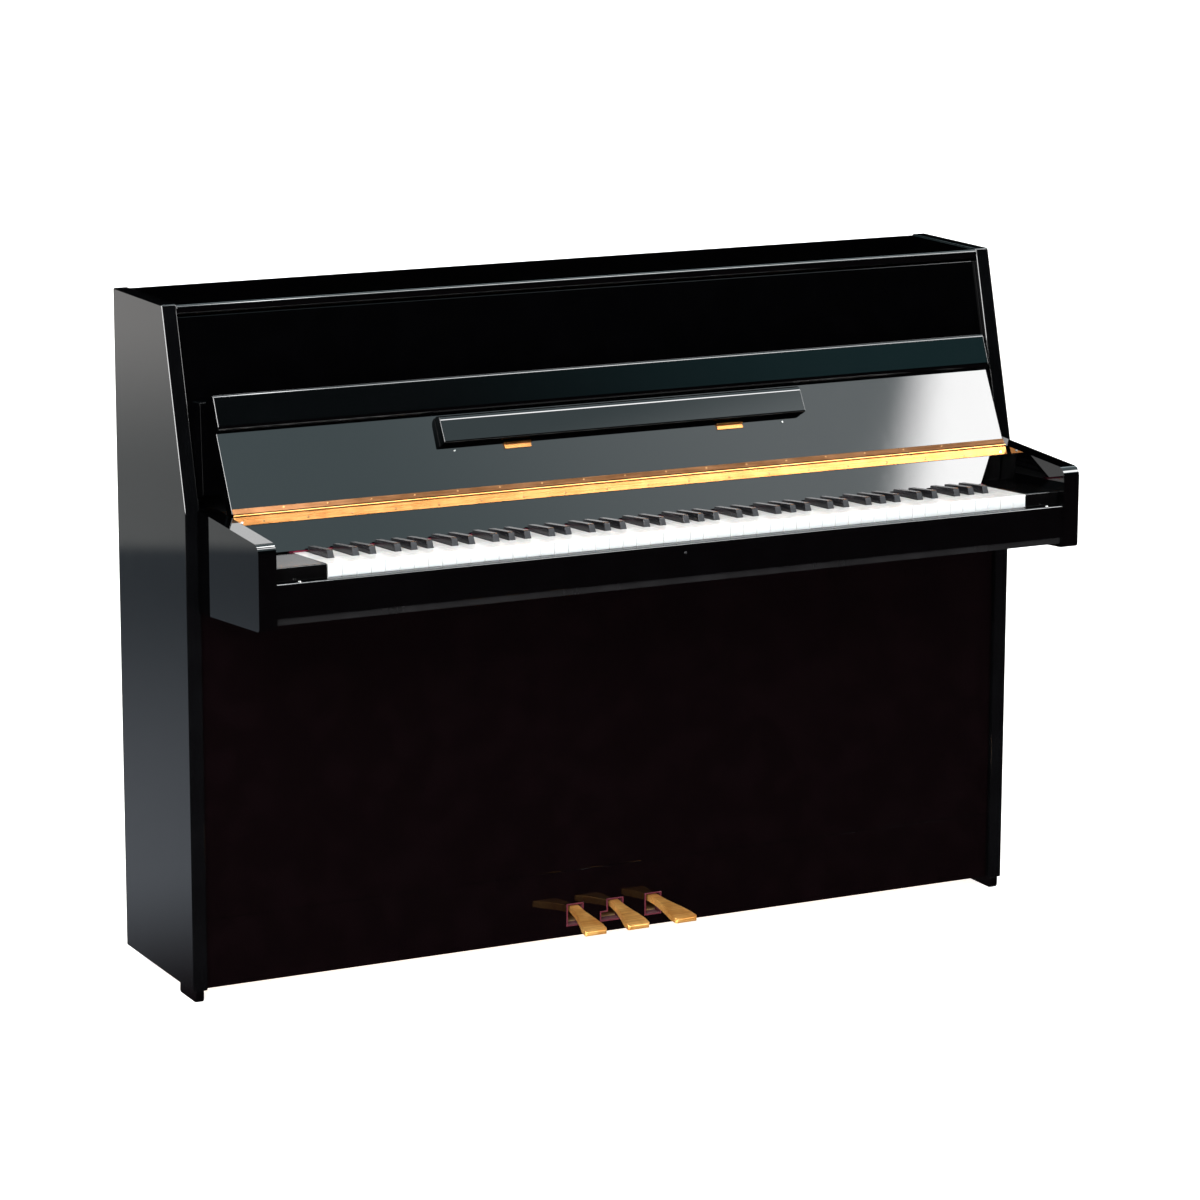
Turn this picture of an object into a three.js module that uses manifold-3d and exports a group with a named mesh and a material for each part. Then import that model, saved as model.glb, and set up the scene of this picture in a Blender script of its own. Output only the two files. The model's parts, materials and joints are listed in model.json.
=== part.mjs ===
// Upright piano with a slanted upper front, a folding music desk on its fallboard, three brass pedals and
// an eighty-eight note keyboard. Millimetres, +Z up, -Y towards the player, origin on the floor at the
// middle of the footprint.
import * as THREE from 'three';
import { mergeVertices } from 'three/addons/utils/BufferGeometryUtils.js';
import Module from 'manifold-3d';

const wasm = await Module();
wasm.setup();

// ---- driving dimensions ----
const width = 1480;
const height = 1090;
const depth = 530;
const gap = 0.3; // between pieces that rest on each other
const back = depth / 2;
const half = width / 2;

const sideThick = 24;
const sideFront = -24.5; // front plane below the keyboard
const sideTopFront = 58.8; // where the slanted front edge meets the top
const slantBottom = 781;
const sideBottom = 19;
const inner = half - sideThick - gap;
const slant = (sideTopFront - sideFront) / (height - slantBottom); // y per z of the upper front

const armOut = 720.6;
const armIn = 691.3;
const armFront = -depth / 2;
const armTopBack = 785;
const armTopFront = 772.5;
const armLowBack = 624;
const armLowFront = 641.5;

const bedBottom = 647.3;
const bedTop = 688;
const bedFront = -258.5;
const slipFront = -263.8;
const slipTop = 711.3;
const slipBottom = 658.4;

const keyboardLeft = -601.5;
const naturals = 52;
const pitch = 1230 / naturals; // width of one natural and its gap
const keyGap = 1.0;
const keyFront = -250;
const keyBack = 118;
const keyPivot = -45;
const keyTop = 732.3; // at the front edge
const keyLow = 711.9; // under the front face
const keyTilt = 0.0594; // the tops fall towards the back
const headLength = 50; // full-width front of a natural
const keyShown = 150; // covered part of the key in front of the fallboard
const notch = 13.4; // room a sharp has between its neighbours
const sharpWidth = 11;

const hingeY = -90.3; // fallboard hinge axis
const hingeZ = 783;
const pinR = 2.4;
const leafThick = 1.4;
const boardLean = 0.517; // y per z of the open fallboard's face
const boardFoot = [-85.5, 785]; // lower front edge of the open fallboard
const boardHalf = 687.4;
const boardThick = 20;

const deskHalf = 322;
const deskThick = 17.5;

const pedalX = [-70, 3, 73];
const pedalTipX = [-81, -3.5, 84];
const pedalPivot = [90, 62];
const pedalTipY = -116;
const pedalSwing = 4; // degrees
const slotWide = 31;
const slotLow = 37;
const slotHigh = 75;
const lockStep = 55; // the middle slot widens to the left below this height

// ---- looks ----
const look = (color, roughness, metalness) => new THREE.MeshStandardMaterial({ color, roughness, metalness });
const ebony = look('#0b0a0b', 0.08, 0);
const ivory = look('#f4f3ef', 0.22, 0);
const sharpBlack = look('#121214', 0.4, 0);
const brass = look('#c9a24e', 0.25, 1);
const redFelt = look('#8c1f33', 0.95, 0);
const whiteFelt = look('#e6e1d4', 0.95, 0);
const paleWood = look('#c9a878', 0.6, 0);
const spruce = look('#d3b588', 0.6, 0);
const goldIron = look('#a98a4f', 0.4, 0.6);
const steel = look('#9a9c9f', 0.3, 1);
const blackIron = look('#1a1a1b', 0.5, 0.4);
const rubber = look('#17181a', 0.7, 0);

// ---- shapes ----
function solid(geometry) {
  const bare = geometry.clone();
  bare.deleteAttribute('normal');
  bare.deleteAttribute('uv');
  const merged = mergeVertices(bare, 1e-4);
  return new wasm.Manifold(new wasm.Mesh({
    numProp: 3,
    vertProperties: new Float32Array(merged.attributes.position.array),
    triVerts: new Uint32Array(merged.index.array),
  }));
}

function geometryOf(body) {
  const mesh = body.getMesh();
  const geometry = new THREE.BufferGeometry();
  const points = new Float32Array(mesh.numProp * mesh.vertProperties.length / mesh.numProp);
  points.set(mesh.vertProperties);
  geometry.setAttribute('position', new THREE.BufferAttribute(points, mesh.numProp));
  geometry.setIndex(new THREE.BufferAttribute(new Uint32Array(mesh.triVerts), 1));
  geometry.computeVertexNormals();
  return geometry;
}

function outline(points) {
  const shape = new THREE.Shape();
  points.forEach(([a, b], i) => (i ? shape.lineTo(a, b) : shape.moveTo(a, b)));
  shape.closePath();
  return shape;
}

// A polygon of [y, z] points drawn out from x0 to x1.
function alongX(points, x0, x1) {
  const geometry = new THREE.ExtrudeGeometry(outline(points), { depth: x1 - x0, bevelEnabled: false });
  geometry.applyMatrix4(new THREE.Matrix4().set(0, 0, 1, x0, 1, 0, 0, 0, 0, 1, 0, 0, 0, 0, 0, 1));
  return solid(geometry);
}

// A polygon of [x, z] points drawn out from y0 to y1.
function alongY(points, y0, y1) {
  const geometry = new THREE.ExtrudeGeometry(outline(points), { depth: y1 - y0, bevelEnabled: false });
  geometry.applyMatrix4(new THREE.Matrix4().set(1, 0, 0, 0, 0, 0, -1, y1, 0, 1, 0, 0, 0, 0, 0, 1));
  return solid(geometry);
}

// A polygon of [x, y] points drawn out from z0 to z1.
function alongZ(points, z0, z1) {
  const geometry = new THREE.ExtrudeGeometry(outline(points), { depth: z1 - z0, bevelEnabled: false });
  geometry.translate(0, 0, z0);
  return solid(geometry);
}

function box(x0, x1, y0, y1, z0, z1) {
  const geometry = new THREE.BoxGeometry(x1 - x0, y1 - y0, z1 - z0);
  geometry.translate((x0 + x1) / 2, (y0 + y1) / 2, (z0 + z1) / 2);
  return solid(geometry);
}

// A round bar between two points.
function bar(from, to, radius, sides = 12) {
  const a = new THREE.Vector3(...from);
  const b = new THREE.Vector3(...to);
  const geometry = new THREE.CylinderGeometry(radius, radius, a.distanceTo(b), sides);
  const turn = new THREE.Quaternion().setFromUnitVectors(
    new THREE.Vector3(0, 1, 0), b.clone().sub(a).normalize());
  geometry.applyQuaternion(turn);
  geometry.translate((a.x + b.x) / 2, (a.y + b.y) / 2, (a.z + b.z) / 2);
  return solid(geometry);
}

// Rounds the corners of a polygon whose radii are not zero.
function rounded(points, radii, steps = 3) {
  const out = [];
  points.forEach((point, i) => {
    const radius = radii[i] || 0;
    if (!radius) {
      out.push(point);
      return;
    }
    const here = new THREE.Vector2(...point);
    const into = new THREE.Vector2(...points[(i + points.length - 1) % points.length]).sub(here).normalize();
    const away = new THREE.Vector2(...points[(i + 1) % points.length]).sub(here).normalize();
    const angle = Math.acos(into.dot(away));
    const reach = radius / Math.tan(angle / 2);
    const middle = into.clone().add(away).normalize().multiplyScalar(radius / Math.sin(angle / 2)).add(here);
    const start = here.clone().addScaledVector(into, reach).sub(middle);
    const turn = start.angleTo(here.clone().addScaledVector(away, reach).sub(middle));
    const sense = Math.sign(into.cross(away)) || 1;
    for (let step = 0; step <= steps; step += 1) {
      const spoke = start.clone().rotateAround(new THREE.Vector2(), -sense * turn * step / steps);
      out.push([middle.x + spoke.x, middle.y + spoke.y]);
    }
  });
  return out;
}

const unite = (first, ...others) => others.reduce((sum, body) => sum.add(body), first);

const piano = new THREE.Group();
function piece(name, body, material, parent = piano) {
  const mesh = new THREE.Mesh(geometryOf(body), material);
  mesh.name = name;
  parent.add(mesh);
}

// ---- case ----
const caseGroup = new THREE.Group();
piano.add(caseGroup);
const sideShape = rounded(
  [[back, sideBottom], [back, height], [sideTopFront, height], [sideFront, slantBottom],
    [sideFront, sideBottom]],
  [0, 2, 3, 60, 2]);
for (const [name, sign] of [['left', -1], ['right', 1]]) {
  const span = (near, far) => (sign < 0 ? [-far, -near] : [near, far]);
  piece(`side_${name}`, alongX(sideShape, ...span(half - sideThick, half)), ebony, caseGroup);

  const toe = rounded([[sideFront + 72, 0], [sideFront + 70, sideBottom - gap],
    [sideFront + 2, sideBottom - gap], [sideFront + 2, 0]], [4, 0, 0, 7]);
  piece(`toe_block_${name}`, alongX(toe, ...span(721.5, 735)), ebony, caseGroup);
  const foot = rounded([[252, 0], [252, 48], [206, 48], [206, 0]], [4, 0, 0, 4]);
  piece(`rear_foot_${name}`, alongX(foot, ...span(640, 700)), rubber, caseGroup);

  // The arm stands inboard of the side's outer face and runs on behind the side's front edge.
  const arm = alongX(rounded(
    [[sideFront - gap, armLowBack], [sideFront - gap, armTopBack], [armFront, armTopFront],
      [armFront, armLowFront]],
    [0, 0, 15, 6]), ...span(armIn, armOut));
  const root = box(...span(armIn, inner), sideFront - 1, 50, bedBottom, armTopBack);
  piece(`arm_${name}`, arm.add(root), ebony, caseGroup);
}

const bed = unite(
  box(-armIn + gap, armIn - gap, bedFront, 60, bedBottom, slipBottom - gap),
  box(-armIn + gap, armIn - gap, bedFront + 10, 60, bedBottom, bedTop));
piece('key_bed', bed, ebony, caseGroup);
const slipShape = rounded(
  [[slipFront + 12, slipBottom], [slipFront + 12, slipTop], [slipFront, slipTop], [slipFront, slipBottom]],
  [0, 1.5, 3, 2]);
const slipBack = box(-armIn + gap, armIn - gap, slipFront + 5, bedFront + 9.7, slipBottom, slipTop - 12);
piece('key_slip', alongX(slipShape, -armIn + gap, armIn - gap).add(slipBack), ebony, caseGroup);

const keyboardRight = keyboardLeft + naturals * pitch;
const blockTop = (y) => keyTop + 0.8 - (y - keyFront) * keyTilt;
const lowBoard = { top: [-92.7, 777], foot: [-118.6, 727.2], left: [-684, -668], right: [661, 625], thick: 12 };
for (const [name, x0, x1, rise0, rise1] of [
  ['left', -armIn + gap, keyboardLeft - 1, -armIn + gap, lowBoard.left[0] - gap],
  ['right', keyboardRight + 1, armIn - gap, lowBoard.right[0] + gap, armIn - gap]]) {
  const y0 = bedFront + 10.1;
  const body = alongX(rounded([[95, bedTop + gap], [95, blockTop(95)], [y0, blockTop(y0)], [y0, bedTop + gap]],
    [0, 0, 2.5, 0]), x0, x1);
  const rise = alongX([[-40, 715], [-40, 768], [-76, 768], [-70, 715]], rise0, rise1);
  piece(`key_block_${name}`, unite(body, rise), ebony, caseGroup);
}

const panelY = (z, recess) => sideFront + recess + (z - slantBottom) * slant;
const upper = alongX(rounded(
  [[panelY(1070, 28), 1070], [panelY(1070, 10), 1070], [panelY(800, 10), 800], [panelY(800, 28), 800]],
  [0, 3, 3, 0]), -inner, inner);
piece('upper_panel', upper, ebony, caseGroup);
piece('lower_panel', box(-inner, inner, sideFront + 8, sideFront + 24, 131.5, bedBottom - gap),
  ebony, caseGroup);

// Pedal slots through the kick rail; the middle one steps down and left, where its pedal locks.
let rail = box(-inner, inner, sideFront + 8, sideFront + 28, 20, 130.6);
pedalX.forEach((x, i) => {
  const low = i === 1 ? lockStep : slotLow;
  rail = rail.subtract(box(x - slotWide / 2, x + slotWide / 2, sideFront, sideFront + 40, low, slotHigh));
  if (i === 1) {
    rail = rail.subtract(box(x - slotWide / 2 - 12, x + slotWide / 2 - 4, sideFront, sideFront + 40,
      slotLow, low + 0.1));
  }
});
piece('kick_rail', rail, ebony, caseGroup);
piece('bottom_board', box(-inner, inner, sideFront + 28.3, 205.7, 22, 40), paleWood, caseGroup);

const lidShape = rounded(
  [[back - 3, 1073.4], [back - 3, 1088.4], [56.5, 1088.4], [56.5, 1073.4]], [1, 1.5, 5, 4]);
piece('top_lid', alongX(lidShape, -inner, inner), ebony, caseGroup);

const lidHinge = [back - 2.6, 1071];
piece('lid_hinge', alongX([[back - 3.7, 1071], [back - 3.7, 1052], [back - 2.4, 1052], [back - 2.4, 1071]],
  -inner + 20, inner - 20).add(bar([-inner + 20, ...lidHinge], [inner - 20, ...lidHinge], 2, 10)),
brass, caseGroup);

// ---- fallboard ----
const fall = new THREE.Group();
piano.add(fall);
const lowDeep = lowBoard.thick * Math.hypot(1, boardLean); // its thickness measured level
const lowShape = [lowBoard.top, lowBoard.foot,
  [lowBoard.foot[0] + lowDeep, lowBoard.foot[1]], [lowBoard.top[0] + lowDeep, lowBoard.top[1]]];
const lowEnds = alongY([[lowBoard.left[0], 778], [lowBoard.right[0], 778], [lowBoard.right[1], 727],
  [lowBoard.left[1], 727]], -130, -60);
piece('fallboard_back', alongX(lowShape, lowBoard.left[0] - 1, lowBoard.right[0] + 1).intersect(lowEnds), ebony, fall);
const lowSlope = (lowBoard.top[0] - lowBoard.foot[0]) / (lowBoard.top[1] - lowBoard.foot[1]);
const feltEnd = box(keyboardLeft - 6.5, keyboardLeft + 1, -117.4, -107.5, 725.6, 727);
piece('key_felt', alongX(rounded([[-107.5, 724.8], [-107.5, 727], [-117.4, 727], [-117.4, 724.8]],
  [0.8, 0, 0, 0.8]), keyboardLeft - 0.7, keyboardRight + 0.7).add(feltEnd), redFelt, fall);

// Continuous hinge: the fixed leaf carries the pin, the moving leaf wraps over it with a running gap.
const lowFaceY = (z) => lowBoard.top[0] + (z - lowBoard.top[1]) * lowSlope;
const leafLow = hingeZ - 13.4;
const fixedLeaf = alongX([
  [lowFaceY(hingeZ - 1.4) - leafThick - gap, hingeZ - 1.4], [lowFaceY(hingeZ - 1.4) - gap, hingeZ - 1.4],
  [lowFaceY(leafLow) - gap, leafLow], [lowFaceY(leafLow) - leafThick - gap, leafLow]],
-boardHalf, boardHalf);
piece('hinge_leaf_fixed', fixedLeaf.add(bar([-boardHalf, hingeY, hingeZ], [boardHalf, hingeY, hingeZ], pinR, 10)),
  brass, fall);
const faceY = (z) => boardFoot[0] + (z - boardFoot[1]) * boardLean;
const leafTop = hingeZ + 9.5;
piece('hinge_leaf_moving', alongX([
  [faceY(leafTop) - gap, leafTop], [faceY(leafTop) - gap - leafThick, leafTop + 0.4],
  [hingeY + 0.2, hingeZ + 3.2], [hingeY + 2.4, hingeZ + 2.9], [faceY(hingeZ + 3.5) - gap, hingeZ + 3.5]],
-boardHalf, boardHalf), brass, fall);

const normal = new THREE.Vector2(1, -boardLean).normalize(); // from the face into the board
const along = new THREE.Vector2(boardLean, 1).normalize();
const onFace = (up, inward) => [boardFoot[0] + along.x * up + normal.x * inward,
  boardFoot[1] + along.y * up + normal.y * inward];
const panelTop = 130;
const panelShape = rounded(
  [onFace(0, 0), onFace(0, boardThick), onFace(panelTop, boardThick), onFace(panelTop, 0)], [2, 0, 0, 0]);
piece('fallboard_panel', alongX(panelShape, -boardHalf, boardHalf), ebony, fall);
const lipShape = rounded(
  [[-26, 901.5], onFace(panelTop + gap, 0.5), onFace(panelTop + gap, boardThick), onFace(188, boardThick),
    [-13.5, 958.8], [-36.5, 907]],
  [1, 0, 0, 6, 5, 8], 4);
piece('fallboard_lip', alongX(lipShape, -boardHalf, boardHalf), ebony, fall);

// Folding desk: it lies against the fallboard's face and drops forward on two small hinges.
const deskShape = rounded(
  [onFace(79, -gap - 0.6), onFace(127, -gap - 0.6), onFace(124, -deskThick + 1), onFace(79, -deskThick - 1)],
  [2, 3, 11, 3], 5);
piece('music_desk', alongX(deskShape, -deskHalf, deskHalf), ebony, fall);
const deskHinge = onFace(74.5, -2.7);
for (const [name, x] of [['left', -191], ['right', 188]]) {
  const knuckle = bar([x - 23, ...deskHinge], [x + 23, ...deskHinge], 2.2, 10);
  const leaf = alongX([onFace(74.5, -gap), onFace(74.5, -gap - 1.6), onFace(66, -gap - 1.6), onFace(66, -gap)],
    x - 23, x + 23);
  piece(`desk_hinge_${name}`, knuckle.add(leaf), brass, fall);
}

// ---- keyboard ----
const keys = new THREE.Group();
piano.add(keys);
const keyFrame = unite(
  box(keyboardLeft, keyboardRight, -236, -200, bedTop + gap, 694),
  box(keyboardLeft, keyboardRight, -66, -26, bedTop + gap, 699.6),
  box(keyboardLeft, keyboardRight, 62, 92, bedTop + gap, 695),
  ...[-580, -200, 200, 600].map((x) => box(x, x + 24, -230, 90, bedTop + gap, 693)));
piece('key_frame', keyFrame, paleWood, keys);

const naturalSide = rounded(
  [[keyBack, 700.5], [keyBack, 716.5], [keyFront + keyShown, 721], [keyFront + keyShown,
    keyTop - keyShown * keyTilt], [keyFront, keyTop], [keyFront, keyTop - 2.6], [keyFront + 0.9, keyTop - 2.9],
  [keyFront + 0.9, keyLow], [keyFront + 4, keyLow], [keyFront + 4, 703.5], [keyPivot, 700.2]],
  [0, 0, 0, 0, 1, 0.5, 0, 0, 0, 0, 0], 2);
const sharpFront = keyFront + headLength + 1.6;
const sharpSide = [[keyBack, 700.5], [keyBack, 716.5], [keyFront + 129.6, 721.5], [keyFront + 127.5, 734],
  [sharpFront + 8, 741.2], [sharpFront + 4.5, 740.4], [sharpFront, 730], [sharpFront, 703.5], [keyPivot, 700.2]];
const tilted = (z, y) => z - (y - keyFront) * keyTilt;

// Where each sharp stands, as an offset from the joint between its two naturals.
const third = 3 * pitch / 5;
const fourth = 4 * pitch / 7;
const afterNote = { 0: 1.5 * third - pitch, 1: 3.5 * third - 2 * pitch, 3: 1.5 * fourth - pitch, 4: 0,
  5: 5.5 * fourth - 3 * pitch }; // C, D, F, G, A
const noteOf = (i) => (i + 5) % 7; // the first natural is an A
const sharpAfter = (i) => (i < naturals - 1 && noteOf(i) in afterNote
  ? keyboardLeft + (i + 1) * pitch + afterNote[noteOf(i)] : null);

function naturalKey(i) {
  const x0 = keyboardLeft + i * pitch + keyGap / 2;
  const x1 = x0 + pitch - keyGap;
  const before = i > 0 ? sharpAfter(i - 1) : null;
  const after = sharpAfter(i);
  const tailLeft = before === null ? x0 : before + notch / 2;
  const tailRight = after === null ? x1 : after - notch / 2;
  const head = keyFront + headLength;
  const plan = [[x0, keyFront - 1], [x1, keyFront - 1]];
  if (after !== null) plan.push([x1, head], [tailRight, head]);
  plan.push([tailRight, keyBack + 1], [tailLeft, keyBack + 1]);
  if (before !== null) plan.push([tailLeft, head], [x0, head]);
  return alongZ(plan, 690, 745).intersect(alongX(naturalSide, x0 - 1, x1 + 1));
}

function sharpKey(x) {
  const top = sharpWidth / 2 - 1;
  const base = sharpWidth / 2;
  const plan = alongY([[x - base, 690], [x + base, 690], [x + base, 722], [x + top, 745], [x - top, 745],
    [x - base, 722]], sharpFront - 1, keyBack + 1);
  return plan.intersect(alongX(sharpSide, x - base - 1, x + base + 1));
}

const octaveStart = 23; // the middle C
const octaveEnd = octaveStart + 7;
const noteNames = ['c', 'd', 'e', 'f', 'g', 'a', 'b'];
const sharpsOf = (from, to) => Array.from({ length: to - from }, (_, k) => sharpAfter(from + k))
  .filter((x) => x !== null);
for (let i = octaveStart; i < octaveEnd; i += 1) {
  const note = noteNames[noteOf(i)];
  piece(`key_${note}`, naturalKey(i), ivory, keys);
  const x = sharpAfter(i);
  if (x !== null) piece(`key_${note}_sharp`, sharpKey(x), sharpBlack, keys);
}

// The rest of the keyboard is four banks: in each, a rail at the hidden end carries the keys.
for (const [name, from, to] of [['bass', 0, octaveStart], ['treble', octaveEnd, naturals]]) {
  const left = keyboardLeft + from * pitch + 6;
  const right = keyboardLeft + to * pitch - 6;
  const rear = box(left, right, keyBack - 6, keyBack + 4, 700.5, 708);
  const bank = Array.from({ length: to - from }, (_, k) => naturalKey(from + k));
  piece(`naturals_${name}`, unite(rear, ...bank), ivory, keys);
  const xs = sharpsOf(from, to);
  const tie = box(xs[0] - 4, xs[xs.length - 1] + 4, 88, 96, 727, 733);
  const clear = box(left - 20, right + 20, keyBack - 12, keyBack + 5, 690, 740);
  const risers = xs.map((x) => box(x - 4, x + 4, 88, 96, 712, 729));
  piece(`sharps_${name}`, unite(tie, ...xs.map((x) => sharpKey(x).subtract(clear)), ...risers),
    sharpBlack, keys);
}

// ---- pedals ----
const pedals = new THREE.Group();
piano.add(pedals);
const pedalNames = ['soft', 'muffler', 'sustain'];
let bracket = box(-110, 110, pedalPivot[0] - 12, pedalPivot[0] + 12, 40.3, 44);
pedalX.forEach((x, i) => {
  const tip = pedalTipX[i];
  const slotY = sideFront + 18;
  const lean = (tip - x) / (pedalTipY - slotY); // the outer pedals fan outwards
  const centre = (y) => x + (y - slotY) * lean;
  const widths = [[pedalTipY, 16.5], [pedalTipY + 4, 19.5], [pedalTipY + 18, 19], [pedalTipY + 46, 13],
    [pedalTipY + 74, 8.6], [slotY - 10, 7.6], [pedalPivot[0] + 52, 7.6]];
  const plan = [...widths.map(([y, w]) => [centre(y) + w, y]),
    ...widths.slice().reverse().map(([y, w]) => [centre(y) - w, y])];
  const side = [[pedalPivot[0] + 52, 58], [pedalPivot[0] + 52, 68], [slotY, 71.5], [pedalTipY + 40, 64],
    [pedalTipY + 5, 57.5], [pedalTipY + 1, 55], [pedalTipY, 51], [pedalTipY + 2.5, 48], [pedalTipY + 30, 51],
    [slotY - 12, 59.6]];
  const body = alongZ(plan, 40, 80).intersect(alongX(side, tip - 66, tip + 66));
  const hub = bar([centre(pedalPivot[0]) - 9, ...pedalPivot], [centre(pedalPivot[0]) + 9, ...pedalPivot], 9);
  piece(`pedal_${pedalNames[i]}`, body.add(hub), brass, pedals);
  const far = pedalPivot[0] + 44;
  piece(`dowel_${pedalNames[i]}`, bar([centre(far), far, 70], [centre(far), far, 812], 5, 10),
    paleWood, pedals);
  for (const side of [-1, 1]) {
    const a = centre(pedalPivot[0]) + side * 9.5;
    const b = centre(pedalPivot[0]) + side * 13.5;
    bracket = bracket.add(box(Math.min(a, b), Math.max(a, b), pedalPivot[0] - 12, pedalPivot[0] + 12, 42, 76));
  }
});
piece('pedal_bracket', bracket, blackIron, pedals);

// ---- back and inside ----
const inside = new THREE.Group();
piano.add(inside);
const postXs = [-560, -280, 0, 280, 560];
const frameBack = back - 5;
const frame = unite(
  box(-inner, inner, 199, frameBack, 985, 1073.1),
  box(-inner, inner, 206, frameBack, 48.5, 130),
  box(-inner, -inner + 50, 199, frameBack, 49, 1060),
  box(inner - 50, inner, 199, frameBack, 49, 1060),
  ...postXs.map((x) => box(x - 32, x + 32, 199, frameBack, 60, 1060)));
piece('back_frame', frame, paleWood, inside);
const board = unite(
  box(-inner, inner, 178, 186, 90, 984),
  ...[-640, -460, -370, -180, -90, 90, 180, 370, 460, 640].map((x) => box(x - 9, x + 9, 185, 198.6, 150, 960)));
piece('soundboard', board, spruce, inside);
const plateHoles = unite(...Array.from({ length: 8 }, (_, k) => {
  const x = -574 + 164 * k;
  return box(x - 60, x + 60, 140, 180, 330 - 10 * k, 900);
}));
const plate = box(-706, 706, 160, 170, 95, 1050).subtract(plateHoles);
piece('iron_plate', plate, goldIron, inside);
piece('pin_block', box(-inner, inner, 170.3, 198.7, 984.6, 1073.1), paleWood, inside);
const strings = [[-640, -330, 12, 120], [-250, 640, 30, -40]].flatMap(([x0, x1, count, lean]) =>
  Array.from({ length: count }, (_, k) => {
    const x = x0 + (x1 - x0) * k / (count - 1);
    const low = Math.max(-680, Math.min(680, x + lean));
    const y = lean > 0 ? 150 : 153; // the bass strings cross in front
    return alongY([[x - 1, 1000], [low - 1, 160], [low + 1, 160], [x + 1, 1000]], y, y + 2);
  }));
piece('strings', unite(box(-655, 655, 150, 159.7, 990, 1006), box(-655, 655, 150, 159.7, 152, 164),
  ...strings), steel, inside);

const action = unite(
  box(-690, 690, 62, 74, 760, 800),
  ...[-684, 672].map((x) => box(x, x + 12, 62, 74, 715, 940)),
  ...[-684, -220, 220, 672].map((x) => box(x, x + 12, 62, 74, 790, 930)),
  ...[-684, -220, 220, 672].map((x) => box(x, x + 12, 62, 112, 905, 930)),
  box(-690, 690, 100, 112, 905, 930));
piece('action_frame', action, blackIron, inside);
const hammerCount = 44;
const hammers = Array.from({ length: hammerCount }, (_, k) => {
  const x = -610 + 1220 * k / (hammerCount - 1);
  return unite(
    box(x - 2, x + 2, 84, 88, 820, 880),
    alongX([[84, 872], [84, 894], [98, 897], [112, 890], [112, 882], [98, 872]], x - 5, x + 5));
});
piece('hammers', unite(box(-630, 630, 76, 84, 816, 824), ...hammers), whiteFelt, inside);
piece('damper_rail', unite(box(-630, 630, 118, 124, 838, 846),
  ...Array.from({ length: 22 }, (_, k) => {
    const x = -610 + 56 * k;
    return box(x - 6, x + 6, 120, 149.6, 840, 856);
  })), whiteFelt, inside);
piece('muffler_rail', box(-630, 630, 128, 131, 905, 950), redFelt, inside);

export default piano;
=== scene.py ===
import json
import math
import bmesh
import bpy
from mathutils import Matrix, Vector

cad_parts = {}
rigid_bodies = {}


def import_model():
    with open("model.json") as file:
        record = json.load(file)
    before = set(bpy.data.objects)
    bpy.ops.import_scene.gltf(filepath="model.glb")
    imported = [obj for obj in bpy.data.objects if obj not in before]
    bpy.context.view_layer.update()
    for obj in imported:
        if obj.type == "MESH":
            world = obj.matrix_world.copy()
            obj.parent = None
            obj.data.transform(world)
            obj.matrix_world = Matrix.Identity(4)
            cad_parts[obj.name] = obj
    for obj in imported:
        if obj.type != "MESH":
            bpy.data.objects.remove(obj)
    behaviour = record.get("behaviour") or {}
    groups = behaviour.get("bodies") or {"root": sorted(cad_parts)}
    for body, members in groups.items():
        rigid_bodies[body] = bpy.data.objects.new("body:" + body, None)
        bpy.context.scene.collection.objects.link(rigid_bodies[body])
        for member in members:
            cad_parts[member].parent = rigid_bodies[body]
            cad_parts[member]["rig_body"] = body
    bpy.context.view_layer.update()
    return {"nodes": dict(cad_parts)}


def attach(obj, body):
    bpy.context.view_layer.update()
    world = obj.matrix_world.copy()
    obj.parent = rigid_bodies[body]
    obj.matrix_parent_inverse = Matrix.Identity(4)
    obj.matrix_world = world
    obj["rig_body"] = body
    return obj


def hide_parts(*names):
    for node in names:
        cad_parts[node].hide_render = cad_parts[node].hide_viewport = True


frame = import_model()
nodes = frame["nodes"]
millimetre = 0.001

# camera
camera = {
    "place": (-3.1691, -6.1745, 2.0879),
    "turn": 27.04,      # degrees towards the treble side
    "down": 12.34,
    "roll": 0.15,
    "lens": 132.13,
    "sensor": 36,
    "clip": (0.1, 200),
}


def addObject(name, data):
    made = bpy.data.objects.new(name, data)
    bpy.context.scene.collection.objects.link(made)
    return made


def makeCamera():
    turn, down, roll = (math.radians(camera[k]) for k in ("turn", "down", "roll"))
    ahead = Vector((math.sin(turn) * math.cos(down), math.cos(turn) * math.cos(down), -math.sin(down)))
    right = Vector((math.cos(turn), -math.sin(turn), 0))
    up = right.cross(ahead)
    right, up = right * math.cos(roll) + up * math.sin(roll), up * math.cos(roll) - right * math.sin(roll)
    data = bpy.data.cameras.new("studioCamera")
    data.lens = camera["lens"]
    data.sensor_width = camera["sensor"]
    data.clip_start, data.clip_end = camera["clip"]
    eye = addObject("studioCamera", data)
    eye.matrix_world = Matrix((
        (right.x, up.x, -ahead.x, camera["place"][0]),
        (right.y, up.y, -ahead.y, camera["place"][1]),
        (right.z, up.z, -ahead.z, camera["place"][2]),
        (0, 0, 0, 1)))
    bpy.context.scene.camera = eye


makeCamera()


# node helpers
def link(tree, *pairs):
    for source, target in pairs:
        tree.links.new(source, target)


def addMath(tree, kind, first, second=None, third=None, clamp=False):
    step = tree.nodes.new("ShaderNodeMath")
    step.operation = kind
    step.use_clamp = clamp
    for socket, value in zip(step.inputs, (first, second, third)):
        if isinstance(value, (int, float)):
            socket.default_value = value
        elif value is not None:
            tree.links.new(value, socket)
    return step.outputs[0]


def addScaled(tree, *weighted, clamp=False):
    first, second = (addMath(tree, "MULTIPLY", value, weight) for value, weight in weighted)
    return addMath(tree, "ADD", first, second, clamp=clamp)


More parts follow.
